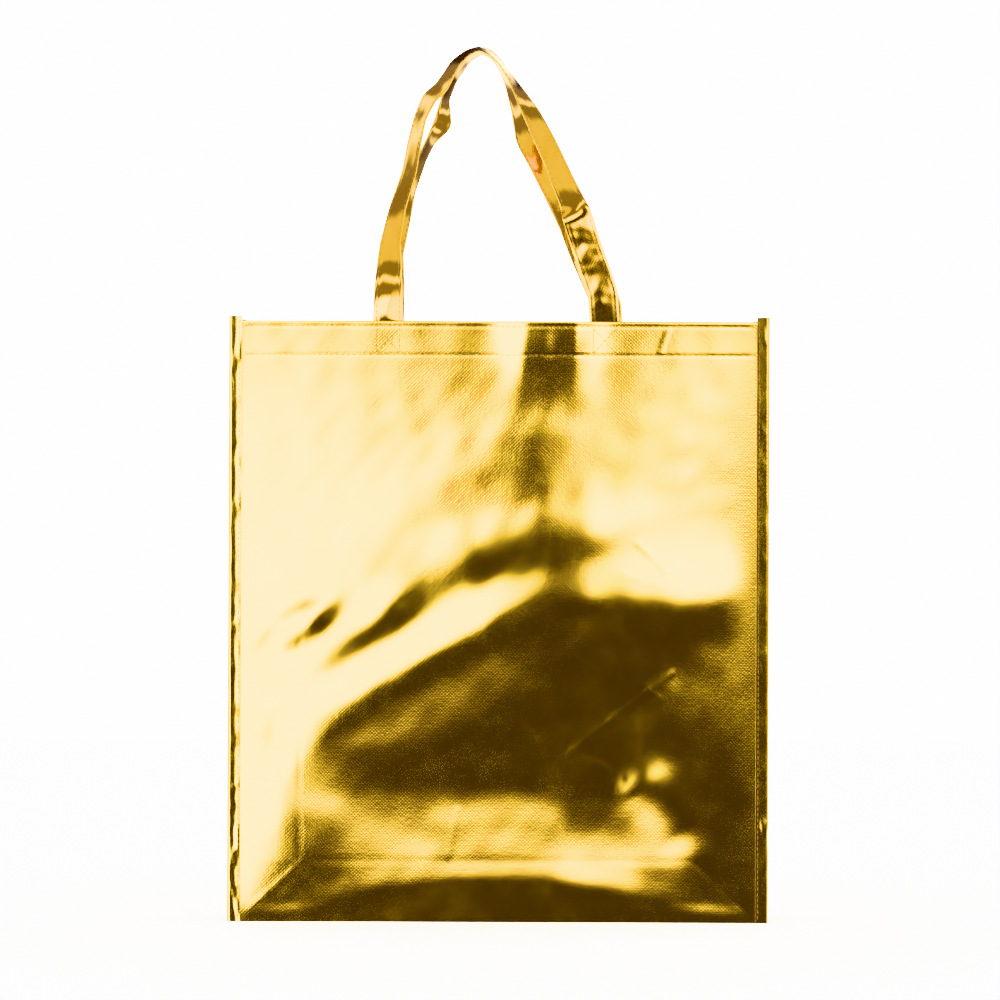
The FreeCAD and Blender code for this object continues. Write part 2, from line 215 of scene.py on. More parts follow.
HANDLING_CREASES = {
    FRONT: (
        ((92, 253), (112, 234), 2.0, 0.15),
        ((82, 232), (105, 226), 2.0, 0.08),
        ((48, 114), (116, 167), 2.0, 0.16),
        ((98, 157), (107, 149), 2.0, 0.18),
        ((19, 133), (31, 123), 2.0, 0.18),
        ((62, 108), (84, 96), 2.0, 0.17),
        ((-27, 75), (-33, 43), 2.2, -0.12),
        ((112, 394), (107, 379), 2.0, 0.10),
        ((-172, 292), (-150, 286), 2.6, -0.14),
        ((-172, 262), (-155, 266), 2.6, -0.14),
        ((-172, 236), (-148, 230), 2.6, 0.12),
        ((-172, 132), (-150, 140), 2.8, -0.16),
    ),
    BACK: (
        ((-60, 260), (-38, 236), 2.0, 0.10),
        ((40, 190), (78, 168), 2.0, 0.10),
        ((-110, 150), (-95, 118), 2.2, -0.12),
        ((120, 300), (150, 312), 2.2, 0.10),
    ),
}


def crown(x, z):
    """The slow swelling of a panel between its seams, in metres.
    It is boxy near the foot and round higher up, where its top lies right of the middle."""
    high = ease((z - 0.10) / 0.2)
    power = 4.8 - 2.7 * high
    shift = (4 + 16 * high) * MM * np.clip(1 - (x / SEAM_X) ** 2, 0, 1)
    across = np.clip(1 - (np.abs(x - shift) / SEAM_X) ** power, 0, 1)
    stations = [(place * MM, rise * MM) for place, rise in CROWN]
    lower = 38 * MM * (x / SEAM_X) ** 2 * ease(1 - z / (80 * MM))
    return through_points(z + lower, stations) * across


def ripples(x, z, seed):
    """The faint unevenness of cloth that has been handled."""
    random = np.random.default_rng(seed)
    total = 0
    for _ in range(RIPPLE_COUNT):
        angle, phase = random.uniform(0, math.pi), random.uniform(0, 2 * math.pi)
        length = random.uniform(12, 34) * MM
        wave = np.sin(2 * math.pi * (x * math.cos(angle) + z * math.sin(angle)) / length + phase)
        total = total + RIPPLE_STEEPNESS * length * wave
    return total


def relief(side, x, z):
    """How far a panel stands out from its CAD face at (x, z), in metres."""
    x, z = np.asarray(x, float), np.asarray(z, float)
    folds = ripples(x, z, RIPPLE_SEED + side)
    for shape in PANEL_FOLDS[side]:
        folds = folds + fold(x, z, *shape)
    creases = 0
    for shape in FLAT_PACK_CREASES + HEM_PULLS + HANDLING_CREASES[side]:
        creases = creases + crease(x, z, *shape)
    inside = SEAM_X - np.abs(x)
    total = crown(x, z) + folds * ease(inside / FOLDS_HELD) + creases * ease(inside / CREASES_HELD)
    return total * ease(z / FOOT_HELD)


# ---------------------------------------------------------------- meshes

def mesh_object(name, points, faces, slots, materials):
    """A mesh object in the row frame, its faces turned outwards and smooth between sharp edges."""
    points = np.asarray(points, float).reshape(-1, 3)
    mesh = bpy.data.meshes.new(name)
    mesh.from_pydata(points.tolist(), [], faces)
    if signed_volume(points, faces) < 0:
        mesh.flip_normals()
    for material in materials:
        mesh.materials.append(material)
    mesh.polygons.foreach_set("material_index", slots)
    mesh.polygons.foreach_set("use_smooth", [True] * len(faces))
    mesh.update()
    mesh.set_sharp_from_angle(angle=SHARP_ANGLE)
    piece = bpy.data.objects.new(name, mesh)
    bpy.context.scene.collection.objects.link(piece)
    return piece


def signed_volume(points, faces):
    """Positive where the faces of a closed mesh point outwards."""
    quads = np.array([face if len(face) == 4 else (*face[:3], face[2]) for face in faces])
    a, b, c, d = (points[quads[:, k]] for k in range(4))
    return float((np.cross(a, b) * c).sum() + (np.cross(a, c) * d).sum())


def note_cloth(piece, places):
    """Keeps each point's place on the flat cloth, in metres, for the weave of its material."""
    attribute = piece.data.attributes.new("cloth", "FLOAT_VECTOR", "POINT")
    attribute.data.foreach_set("vector", np.asarray(places, np.float32).ravel())


def grid_faces(rows, columns, first=0):
    """The quads of a grid of points, as rows of indices."""
    index = first + np.arange(rows * columns).reshape(rows, columns)
    a, b, c, d = index[:-1, :-1], index[:-1, 1:], index[1:, 1:], index[1:, :-1]
    return np.stack([a, b, c, d], axis=-1).reshape(-1, 4), index


def flat_places(skin):
    """Distances along the rows and columns of a grid of points, as a place on flat cloth."""
    across = np.linalg.norm(np.diff(skin, axis=1), axis=2)
    along = np.linalg.norm(np.diff(skin, axis=0), axis=2)
    u = np.concatenate([np.zeros((len(skin), 1)), across.cumsum(axis=1)], axis=1)
    v = np.concatenate([np.zeros((1, skin.shape[1])), along.cumsum(axis=0)], axis=0)
    u = u - u[:, [skin.shape[1] // 2]]
    return np.stack([u, v, np.zeros_like(u)], axis=-1)


def shell(name, outside, inside, materials):
    """A closed thin sheet between two grids of points: the finished skin, the lining and the cut rim."""
    rows, columns = outside.shape[:2]
    skin, index = grid_faces(rows, columns)
    lining = skin[:, ::-1] + rows * columns
    ring = np.concatenate([index[0, :-1], index[:-1, -1], index[-1, :0:-1], index[:0:-1, 0]])
    after = np.roll(ring, -1)
    rim = np.stack([after, ring, ring + rows * columns, after + rows * columns], axis=1)
    faces = np.concatenate([skin, lining, rim]).tolist()
    slots = [0] * len(skin) + [1] * (len(lining) + len(rim))
    points = np.concatenate([outside.reshape(-1, 3), inside.reshape(-1, 3)])
    piece = mesh_object(name, points, faces, slots, materials)
    places = flat_places(outside).reshape(-1, 3)
    note_cloth(piece, np.concatenate([places, places]))
    return piece


def tube(name, rings, materials, places):
    """A closed skin through rings of points, capped at both ends."""
    count, around = rings.shape[:2]
    index = np.arange(count * around).reshape(count, around)
    a, b = index[:-1], index[1:]
    sides = np.stack([a, np.roll(a, -1, 1), np.roll(b, -1, 1), b], axis=-1).reshape(-1, 4)
    half = around // 2
    caps = []
    for ring in (index[0][::-1], index[-1]):
        for k in range(half - 1):
            caps.append([ring[k], ring[k + 1], ring[around - 2 - k], ring[around - 1 - k]])
    faces = sides.tolist() + [[int(corner) for corner in cap] for cap in caps]
    piece = mesh_object(name, rings.reshape(-1, 3), faces, [0] * len(faces), materials)
    note_cloth(piece, places.reshape(-1, 3))
    return piece


# ---------------------------------------------------------------- materials

def add(tree, kind, settings=None, **values):
    """A node of that kind, with its own settings and the values of its sockets."""
    node = tree.nodes.new(kind)
    for key, value in (settings or {}).items():
        setattr(node, key, value)
    for key, value in values.items():
        node.inputs[key.replace("_", " ")].default_value = value
    return node


def maths(tree, operation, first, second=None):
    """A Math node fed by numbers or other nodes' outputs."""
    node = add(tree, "ShaderNodeMath", {"operation": operation})
    for socket, value in zip(node.inputs, (first, second)):
        if value is None:
            continue
        if isinstance(value, (int, float)):
            socket.default_value = value
        else:
            tree.links.new(value, socket)
    return node.outputs[0]


def smooth_range(tree, value, low, high, low_to=0.0, high_to=1.0):
    """Turns value into a smooth step between low and high."""
    node = add(tree, "ShaderNodeMapRange", {"interpolation_type": "SMOOTHSTEP", "clamp": True})
    tree.links.new(value, node.inputs["Value"])
    for key, number in zip(("From Min", "From Max", "To Min", "To Max"), (low, high, low_to, high_to)):
        node.inputs[key].default_value = number
    return node.outputs["Result"]


def new_material(name):
    """An empty material with a Principled shader, and its node tree."""
    material = bpy.data.materials.new(name)
    material.use_nodes = True
    tree = material.node_tree
    shader = tree.nodes["Principled BSDF"]
    return material, tree, shader


def cloth_place(tree):
    """The place on the flat cloth that the meshes keep, in metres."""
    return add(tree, "ShaderNodeAttribute", {"attribute_name": "cloth"}).outputs["Vector"]


def twill(tree, place, pitch):
    """Fine ribs both ways across the cloth, as pressed into the film."""
    ribs = []
    for turn in (45, -45):
        mapping = add(tree, "ShaderNodeMapping", Rotation=(0, 0, math.radians(turn)))
        wave = add(tree, "ShaderNodeTexWave", Scale=2 * math.pi / (20 * pitch), Distortion=1.2)
        wave.inputs["Detail Scale"].default_value = 1.5
        tree.links.new(place, mapping.inputs["Vector"])
        tree.links.new(mapping.outputs["Vector"], wave.inputs["Vector"])
        ribs.append(wave.outputs["Fac"])
    return maths(tree, "MULTIPLY", ribs[0], ribs[1])


def noise(tree, place, scale, detail, roughness):
    """Cloudy noise over the cloth, from 0 to 1."""
    node = add(tree, "ShaderNodeTexNoise", Scale=scale, Detail=detail, Roughness=roughness)
    tree.links.new(place, node.inputs["Vector"])
    return node.outputs["Fac"]


def bump(tree, height, distance, normal=None):
    """Fine relief of that depth in metres, laid over an earlier one if there is one."""
    node = add(tree, "ShaderNodeBump", Strength=1.0, Distance=distance)
    tree.links.new(height, node.inputs["Height"])
    if normal:
        tree.links.new(normal, node.inputs["Normal"])
    return node.outputs["Normal"]


def mix_colour(tree, factor, first, second):
    """A colour between two, from the first where factor is 0 to the second where it is 1."""
    node = add(tree, "ShaderNodeMix", {"data_type": "RGBA"})
    tree.links.new(factor, node.inputs["Factor"])
    for socket in node.inputs:
        if socket.type == "RGBA":
            socket.default_value = (*(first if socket.name == "A" else second), 1)
    return next(o for o in node.outputs if o.type == "RGBA")


CLOTH_GOLD = ((1.0, 0.70, 0.10), (0.98, 0.67, 0.09))  # fresh and worn
# The straps' film: the panels' gold film painted darker, as painted shade that keeps its reflections from
# going pale; fresh and worn
STRAP_GOLD_AND_PAINTED_SHADE = ((0.80, 0.52, 0.07), (0.70, 0.42, 0.05))
FELT_WHITE = ((0.80, 0.79, 0.75), (0.92, 0.91, 0.88))
# The thread's yellow, painted darker: painted shade for the shadow in its stitch holes
THREAD_GOLD_AND_PAINTED_SHADE = ((0.13, 0.07, 0.008), (0.26, 0.15, 0.02))
RIB_PITCH = 1.6 * MM
THREAD_TWIST = 0.35 * MM


def gold_film(name, colours, rib_depth, grain_depth, smooth_roughness, rough_roughness):
    """Metallised film on non-woven cloth: ribs, a grain of fibres and slightly worn patches."""
    material, tree, shader = new_material(name)
    place = cloth_place(tree)
    worn = noise(tree, place, 35, 4, 0.6)
    colour = mix_colour(tree, smooth_range(tree, worn, 0.3, 0.7), *colours)
    tree.links.new(colour, shader.inputs["Base Color"])
    roughness = smooth_range(tree, worn, 0.35, 0.75, smooth_roughness, rough_roughness)
    tree.links.new(roughness, shader.inputs["Roughness"])
    shader.inputs["Metallic"].default_value = 1.0
    fibres = bump(tree, noise(tree, place, 420, 3, 0.55), grain_depth)
    ribs = bump(tree, twill(tree, place, RIB_PITCH), rib_depth, fibres)
    tree.links.new(ribs, shader.inputs["Normal"])
    return material


def white_felt():
    """The bare white side of the non-woven cloth, with its bonding dots."""
    material, tree, shader = new_material("white_nonwoven")
    place = cloth_place(tree)
    dots = add(tree, "ShaderNodeTexVoronoi", Scale=900.0, Randomness=0.35)
    tree.links.new(place, dots.inputs["Vector"])
    pits = smooth_range(tree, dots.outputs["Distance"], 0.15, 0.45)
    fibres = noise(tree, place, 1500, 4, 0.7)
    tree.links.new(mix_colour(tree, fibres, *FELT_WHITE), shader.inputs["Base Color"])
    shader.inputs["Roughness"].default_value = 0.85
    fuzzy = bump(tree, fibres, 0.06 * MM)
    tree.links.new(bump(tree, pits, 0.08 * MM, fuzzy), shader.inputs["Normal"])
    return material


def thread_material():
    """Twisted yellow polyester thread, painted darker for the shade in its stitch holes, and banded darker
    and lighter along its twist.
    """
    material, tree, shader = new_material("gold_thread")
    place = cloth_place(tree)
    twist = add(tree, "ShaderNodeTexWave", Scale=2 * math.pi / (20 * THREAD_TWIST))
    turned = add(tree, "ShaderNodeMapping", Rotation=(0, 0, math.radians(35)))
    tree.links.new(place, turned.inputs["Vector"])
    tree.links.new(turned.outputs["Vector"], twist.inputs["Vector"])
    tree.links.new(mix_colour(tree, twist.outputs["Fac"], *THREAD_GOLD_AND_PAINTED_SHADE), shader.inputs["Base Color"])
    shader.inputs["Roughness"].default_value = 0.45
    shader.inputs["Metallic"].default_value = 0.35
    tree.links.new(bump(tree, twist.outputs["Fac"], 0.05 * MM), shader.inputs["Normal"])
    return material


GOLD_CLOTH = gold_film("gold_film_cloth", CLOTH_GOLD, 0.010 * MM, 0.022 * MM, 0.06, 0.10)
GOLD_TAPE = gold_film("gold_film_tape", CLOTH_GOLD, 0.005 * MM, 0.014 * MM, 0.07, 0.12)
# The straps take the darker copy of the gold film: painted shade
GOLD_STRAP = gold_film("gold_film_strap_painted_shade", STRAP_GOLD_AND_PAINTED_SHADE, 0.004 * MM, 0.010 * MM, 0.06, 0.10)
WHITE_FELT = white_felt()
GOLD_THREAD = thread_material()


# ---------------------------------------------------------------- panels

def panel_lines():
    """The places of a panel's grid lines, closer together along the hem."""
    half = round(CUT_HALF_WIDTH / GRID_STEP)
    across = np.linspace(-CUT_HALF_WIDTH, CUT_HALF_WIDTH, 2 * half + 1)
    body = np.linspace(0, HEM_FOOT, 170)
    hem = np.linspace(HEM_FOOT, BAG_HEIGHT - 0.6 * MM, 26)[1:]
    return across, np.concatenate([body, hem])


def panel_section():
    """Rows up a panel as (depth, height) of its skin and of its lining, over the hem and down inside."""
    _, heights = panel_lines()
    turn = CLOTH + LAYER_GAP / 2
    centre = BAG_HEIGHT - turn
    skin = [(0, z) for z in heights]
    lining = [(CLOTH, z) for z in heights]
    for angle in np.radians((30, 60, 90, 120, 150)):
        skin.append((turn - turn * math.cos(angle), centre + turn * math.sin(angle)))
        lining.append((turn - LAYER_GAP / 2 * math.cos(angle), centre + LAYER_GAP / 2 * math.sin(angle)))
    for z in heights[heights >= HEM_FOOT][::-1]:
        skin.append((2 * turn, z))
        lining.append((2 * turn - CLOTH, z))
    return np.array(skin), np.array(lining)


def make_panel(side):
    """A panel: gold outside, white inside, its top edge turned in as a hem."""
    across, _ = panel_lines()
    grids = []
    for section in panel_section():
        x = np.broadcast_to(across, (len(section), len(across)))
        z = np.broadcast_to(section[:, 1:], x.shape)
        y = side * (PANEL_PLANE + relief(side, x, z) - section[:, :1])
        grids.append(np.stack([x, y, z], axis=-1))
    name = SIDE_NAMES[side]
    piece = shell(f"{name}_panel_cloth", *grids, [GOLD_CLOTH, WHITE_FELT])
    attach(piece, name)
    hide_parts(f"{name}_panel")
    return piece


# ---------------------------------------------------------------- gussets and base

def gusset_inset(y, z):
    """How far a gusset is pushed in from the side seams at (y, z)."""
    half = PANEL_PLANE - CLOTH
    depth = SEAM_X + 1 * MM - CREASE_X
    fold_in = np.minimum(1 - np.abs(y) / half, z / BASE_CREASE)
    return depth * fold_in


GUSSET_FOOT = 1.5 * MM


def gusset_flange(place, heights, y):
    """A line of points up one seam allowance of a gusset."""
    return np.stack([np.full_like(heights, place), np.full_like(heights, y), heights], -1)


def make_gusset(end):
    """A side gusset, creased inwards down its middle, with the triangle at its foot."""
    half = PANEL_PLANE - 2 * CLOTH
    middle = np.linspace(-half, half, 43)
    heights = np.linspace(GUSSET_FOOT, BAG_HEIGHT, 170)
    y, z = np.meshgrid(middle, heights)
    free = ease((half - np.abs(y)) / (10 * MM))
    inset = gusset_inset(y, z) + crumple(y, z, 55 * MM, 2.0 * MM, 11 + end) * free
    x = SEAM_X + 1 * MM - inset
    flange = np.linspace(CUT_HALF_WIDTH, SEAM_X + 2 * MM, 4)
    grids = []
    for depth in (0, CLOTH):
        reach = half + CLOTH - depth
        front = [gusset_flange(place, heights, -reach) for place in flange]
        back = [gusset_flange(place, heights, reach) for place in flange[::-1]]
        wall = [np.stack([x[:, k] - depth, y[:, k], z[:, k]], -1) for k in range(len(middle))]
        grids.append(np.stack(front + wall + back, axis=1) * np.array([end, 1, 1]))
    name = END_NAMES[end]
    piece = shell(f"{name}_gusset_cloth", *grids, [GOLD_CLOTH, WHITE_FELT])
    flatten(piece)
    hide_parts(f"{name}_gusset")
    return piece


def flatten(piece):
    """Hangs a piece on the back panel's body, with a mesh of its own."""
    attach(piece, "back")
    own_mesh(piece)


def make_base():
    """The bottom of the bag, gold side down."""
    across = np.linspace(-SEAM_X, SEAM_X, 150)
    deep = np.linspace(-PANEL_PLANE + CLOTH, PANEL_PLANE - CLOTH, 36)
    x, y = np.meshgrid(across, deep)
    edge = ease((SEAM_X - np.abs(x)) / (15 * MM)) * ease((PANEL_PLANE - np.abs(y)) / (12 * MM))
    lift = 0.05 * MM + edge * (0.5 * MM + crumple(x, y, 60 * MM, 0.8 * MM, 5))
    outside = np.stack([x, y, np.maximum(lift, 0.02 * MM)], -1)
    inside = outside + np.array([0, 0, CLOTH])
    piece = shell("base_cloth", outside, inside, [GOLD_CLOTH, WHITE_FELT])
    flatten(piece)
    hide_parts("base_panel")
    return piece


# ---------------------------------------------------------------- bindings

TAPE_HALF = 0.25 * MM  # half of the tape's thickness
TAPE_INNER_PLANE = 38.5 * MM
TAPE_OUTER_PLANE = PANEL_PLANE + 0.3 * MM
TAPE_INNER_X = 172.8 * MM


def tape_path():
    """The folded tape's section as (x, depth from the middle plane) points, inner leg first."""
    radius = (TAPE_OUTER_PLANE - TAPE_INNER_PLANE) / 2
    centre_x = TAPE_EDGE_X - TAPE_HALF - radius
    centre_y = (TAPE_OUTER_PLANE + TAPE_INNER_PLANE) / 2
    inner = [(x, TAPE_INNER_PLANE) for x in np.linspace(TAPE_INNER_X, centre_x, 4)]
    web = [
        (centre_x + radius * math.cos(a), centre_y + radius * math.sin(a))
        for a in np.radians(np.linspace(-60, 60, 5))
    ]
    outer = [(x, TAPE_OUTER_PLANE) for x in np.linspace(centre_x, SEAM_X, 8)]
    return np.array(inner + web + outer)


def offset_path(path, distance):
    """A path in its own plane, moved sideways."""
    tangent = np.gradient(path, axis=0)
    tangent /= np.linalg.norm(tangent, axis=1)[:, None]
    return path + distance * np.stack([tangent[:, 1], -tangent[:, 0]], axis=1)


def tape_wave(side, end, x, z):
    """How the outer leg of a binding lifts off the panel."""
    seed = 20 + 3 * side + end
    worn = 0.45 + 0.55 * ease((130 * MM - z) / (60 * MM))
    free = ease((x - SEAM_X + 1 * MM) / (4 * MM))
    curled = 0.14 * ease((x - SEAM_X) / (4 * MM)) - 0.12 * ease((x - SEAM_X - 4 * MM) / (4 * MM))
    lean = curled * MM if end == side else 0
    return np.maximum(0, crumple(3 * x, z, 26 * MM, 1.2 * MM, seed)) * worn * (0.35 + 0.65 * free) - lean


def make_binding(side, end):
    """The tape folded over a side seam."""
    path = tape_path()
    heights = np.linspace(0, TAPE_TOP, 236)
    grids = []
    for distance in (TAPE_HALF, -TAPE_HALF):
        moved = offset_path(path, distance)
        x = np.broadcast_to(moved[:, 0], (len(heights), len(path))).copy()
        y = np.broadcast_to(moved[:, 1], x.shape).copy()
        z = np.broadcast_to(heights[:, None], x.shape)
        outer = ease((y - TAPE_INNER_PLANE) / (1.5 * MM))
        y = y + outer * tape_wave(side, end, x, z)
        edge = ease((x - SEAM_X - 4 * MM) / (4 * MM))
        x = x - edge * np.maximum(0, crumple(z, 0 * z, 34 * MM, 1.6 * MM, 50 + side + 2 * end))
        grids.append(np.stack([end * x, side * y, z], -1))
    name = f"{SIDE_NAMES[side]}_{END_NAMES[end]}_binding"
    piece = shell(f"{name}_tape", *grids, [GOLD_TAPE, WHITE_FELT])
    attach(piece, SIDE_NAMES[side])
    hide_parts(name)
    return piece


def make_base_binding(end):
    """The tape folded over the seam between the base and a gusset."""
    low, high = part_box(f"{END_NAMES[end]}_base_binding")
    bottom, top = low.z + 0.05 * MM + TAPE_HALF, high.z - TAPE_HALF
    radius = (top - bottom) / 2
    centre = TAPE_EDGE_X - TAPE_HALF - radius
    upper = [(x, top) for x in np.linspace(SEAM_X + 1.5 * MM, centre, 4)]
    web = [
        (centre + radius * math.cos(a), (top + bottom) / 2 + radius * math.sin(a))
        for a in np.radians((60, 30, 0, -30, -60))
    ]
    lower = [(x, bottom) for x in np.linspace(centre, SEAM_X, 5)]
    path = np.array(upper + web + lower)
    deep = np.linspace(low.y, high.y, 42)
    grids = []
    for distance in (-TAPE_HALF, TAPE_HALF):
        moved = offset_path(path, distance)
        x = np.broadcast_to(moved[:, 0], (len(deep), len(path)))
        z = np.broadcast_to(moved[:, 1], x.shape)
        y = np.broadcast_to(deep[:, None], x.shape)
        z = z + ease((z - bottom) / MM) * np.maximum(0, crumple(y, 2 * x, 14 * MM, 0.5 * MM, 70 + end))
        grids.append(np.stack([end * x, y, z], -1))
    name = f"{END_NAMES[end]}_base_binding"
    piece = shell(f"{name}_tape", *grids, [GOLD_TAPE, WHITE_FELT])
    flatten(piece)
    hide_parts(name)
    return piece


# ---------------------------------------------------------------- stitching

DASH_STATIONS = (-1, -0.75, 0, 0.75, 1)
DASH_GIRTH = (0.25, 0.8, 1, 0.8, 0.25)
DASH_SIDES = 6


def dashes(name, centres, alongs, normals, length=2.7 * MM):
    """Short rounded stitches of thread, each at a centre, along a direction and lying on a surface."""
    points, places, faces = [], [], []
    turns = np.arange(DASH_SIDES) * 2 * math.pi / DASH_SIDES
    for centre, along, normal in zip(centres, alongs, normals):
        along = along / np.linalg.norm(along)
        normal = normal / np.linalg.norm(normal)
        across = np.cross(along, normal)
        first = len(points)
        for station, girth in zip(DASH_STATIONS, DASH_GIRTH):
            sink = -0.10 * MM * station**2
            for turn in turns:
                out = np.cos(turn) * across * THREAD / 2 + (np.sin(turn) * 0.7 * THREAD / 2 + sink) * normal
                points.append(centre + along * station * length / 2 + girth * out)
                places.append((station * length / 2, turn * THREAD / 2, 0))
        rings = first + np.arange(len(DASH_STATIONS) * DASH_SIDES).reshape(-1, DASH_SIDES)
        for a, b in zip(rings[:-1], rings[1:]):
            faces += [[a[k], a[k - 1], b[k - 1], b[k]] for k in range(DASH_SIDES)]
        for ring in (rings[0], rings[-1][::-1]):
            faces += [[ring[0], ring[1], ring[4], ring[5]], [ring[1], ring[2], ring[3], ring[4]]]
    faces = [[int(corner) for corner in face] for face in faces]
    piece = mesh_object(name, points, faces, [0] * len(faces), [GOLD_THREAD])
    note_cloth(piece, places)
    return piece


def panel_run(side, start, end, lift, pitch=STITCH_PITCH):
    """Stitches in a straight run on a panel, from start to end, each (x, z) in metres."""
    start, end = np.array(start), np.array(end)
    count = max(2, round(np.linalg.norm(end - start) / pitch))
    t = (np.arange(count) + 0.5) / count
    flat = start + t[:, None] * (end - start)
    centres = on_panel(side, flat[:, 0], flat[:, 1], lift)
    step = 0.2 * MM * (end - start) / np.linalg.norm(end - start)
    ahead = on_panel(side, flat[:, 0] + step[0], flat[:, 1] + step[1], lift)
    return centres, ahead - centres, panel_normals(side, flat[:, 0], flat[:, 1])


def on_panel(side, x, z, lift=0.0):
    """Points on a panel's outer face."""
    return np.stack([x, side * (PANEL_PLANE + relief(side, x, z) + lift), z], -1)


def panel_normals(side, x, z):
    """The directions in which a panel's outer face looks."""
    step = 0.3 * MM
    slope_x = (relief(side, x + step, z) - relief(side, x - step, z)) / (2 * step)
    slope_z = (relief(side, x, z + step) - relief(side, x, z - step)) / (2 * step)
    return np.stack([-slope_x, side * np.ones_like(slope_x), -slope_z], -1)


def joined_runs(runs):
    """Several runs of stitches as one."""
    return [np.concatenate(parts) for parts in zip(*runs)]


def make_hem_stitching(side):
    """Two rows along the hem, on the panel's outer face."""
    name = SIDE_NAMES[side]
    reach = SEAM_X - 1 * MM
    runs = [panel_run(side, (-reach, z), (reach, z), 0.05 * MM) for z in HEM_ROWS]
    piece = dashes(f"{name}_hem_thread", *joined_runs(runs))
    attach(piece, name)
    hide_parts(f"{name}_hem_stitching")


def make_box_stitching(side, end):
    """The square with a cross that holds a strap end in the hem."""
    name = f"{SIDE_NAMES[side]}_handle_{END_NAMES[end]}"
    low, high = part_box(f"{name}_stitching")
    x0, x1, z0, z1 = low.x + THREAD, high.x - THREAD, low.z + THREAD, high.z - THREAD
    corners = {
        "bottom_left": (x0, z0),
        "bottom_right": (x1, z0),
        "top_right": (x1, z1),
        "top_left": (x0, z1),
    }
    lines = (
        ("bottom_left", "top_left"),
        ("bottom_right", "top_right"),
        ("bottom_left", "bottom_right"),
        ("bottom_left", "top_right"),
        ("top_left", "bottom_right"),
    )
    runs = [panel_run(side, corners[a], corners[b], 0.12 * MM, 3.4 * MM) for a, b in lines]
    piece = dashes(f"{name}_thread", *joined_runs(runs))
    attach(piece, SIDE_NAMES[side])
    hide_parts(f"{name}_stitching")


def make_binding_stitching(side, end):
    """The row down a binding's outer leg."""
    name = f"{SIDE_NAMES[side]}_{END_NAMES[end]}_binding"
    z = np.arange(STITCH_PITCH, TAPE_TOP - STITCH_PITCH, STITCH_PITCH)
    x = np.full_like(z, SEAM_ROW_X)
    y = TAPE_OUTER_PLANE + TAPE_HALF + tape_wave(side, end, x, z) + 0.05 * MM
    centres = np.stack([end * x, side * y, z], -1)
    alongs = np.broadcast_to((0.0, 0.0, 1.0), centres.shape)
    normals = np.broadcast_to((0.0, float(side), 0.0), centres.shape)
    piece = dashes(f"{name}_thread", centres, alongs, normals)
    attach(piece, SIDE_NAMES[side])
    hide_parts(f"{name}_stitching")


def make_base_binding_stitching(end):
    """The row along a base binding, inside the bag."""
    name = f"{END_NAMES[end]}_base_binding"
    low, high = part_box(f"{name}_stitching")
    y = np.arange(low.y + 2 * MM, high.y - 1 * MM, STITCH_PITCH)
    centres = np.stack([np.full_like(y, (low.x + high.x) / 2), y, np.full_like(y, low.z + 0.15 * MM)], -1)
    alongs = np.broadcast_to((0.0, 1.0, 0.0), centres.shape)
    normals = np.broadcast_to((0.0, 0.0, 1.0), centres.shape)
    piece = dashes(f"{name}_thread", centres, alongs, normals)
    flatten(piece)
    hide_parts(f"{name}_stitching")


# ---------------------------------------------------------------- handles

# Stations along each strap: x, rise above the hem, turn of the strap about its own line in degrees.
FRONT_LINE = (
    (-74.2, 0, 0), (-73.9, 27, 25), (-72.9, 51, 46), (-67.9, 75, 56), (-60.2, 99, 60), (-56.9, 119, 62),
    (-53.2, 135, 64), (-47.2, 148, 60), (-39.3, 155, 62), (-34.6, 163, 66), (-30, 171, 70), (-22, 178, 75),
    (-14, 181, 78), (-6, 177, 80), (0, 171, 82), (8.3, 159, 75), (20, 139, 55), (28, 123, 47),
    (35.6, 107, 44), (42.6, 91, 38), (48.6, 78, 30), (51, 71, 4), (57.2, 51, 0), (62.9, 35, 0),
    (68.5, 19, 0), (69.9, 0, 0),
)
BACK_LINE = (
    (-75, 0, 0), (-74.2, 24, 20), (-73.3, 48, 40), (-61.8, 92, 65), (-53.3, 113, 74), (-47.5, 125, 74),
    (-39, 137, 54), (-37.5, 154, 75), (-32, 168, 76), (-22.4, 181, 78), (-12.9, 187, 80), (-6.1, 184, 80),
    (0, 177, 79), (5, 166, 76), (11, 149, 66), (17, 126, 52), (26, 111, 46), (36, 93, 40), (48.9, 68, 30),
    (57.3, 48, 15), (72.6, 14, 4), (73.6, 0, 0),
)
LINES = {FRONT: FRONT_LINE, BACK: BACK_LINE}
STRAP_STEP = 1.5 * MM
STRAP_ACROSS = 14
STITCHED_FROM = 27 * MM  # the edge rows start this far from each end of a strap


def strap_stations(side):
    """Even stations along a strap, from one end in the hem to the other: x, rise, turn and length."""
    line = np.array(LINES[side], float)
    line[:, :2] *= MM
    inside = np.array([[line[0, 0], HEM_FOOT - BAG_HEIGHT, 0]])
    outside = np.array([[line[-1, 0], HEM_FOOT - BAG_HEIGHT, 0]])
    line = np.concatenate([inside, line, outside])
    run = np.concatenate([[0], np.hypot(*np.diff(line[:, :2], axis=0).T).cumsum()])
    at = np.linspace(0, run[-1], round(run[-1] / STRAP_STEP) + 1)
    x, rise, turn = (softened(np.interp(at, run, line[:, k])) for k in range(3))
    return x, rise, np.radians(turn), at


def softened(values):
    """Rounds the corners of a line of evenly spaced values, keeping its ends."""
    window = np.array([1, 2, 3, 2, 1]) / 9
    padded = np.pad(values, 2, mode="reflect", reflect_type="odd")
    return np.convolve(padded, window, mode="valid")


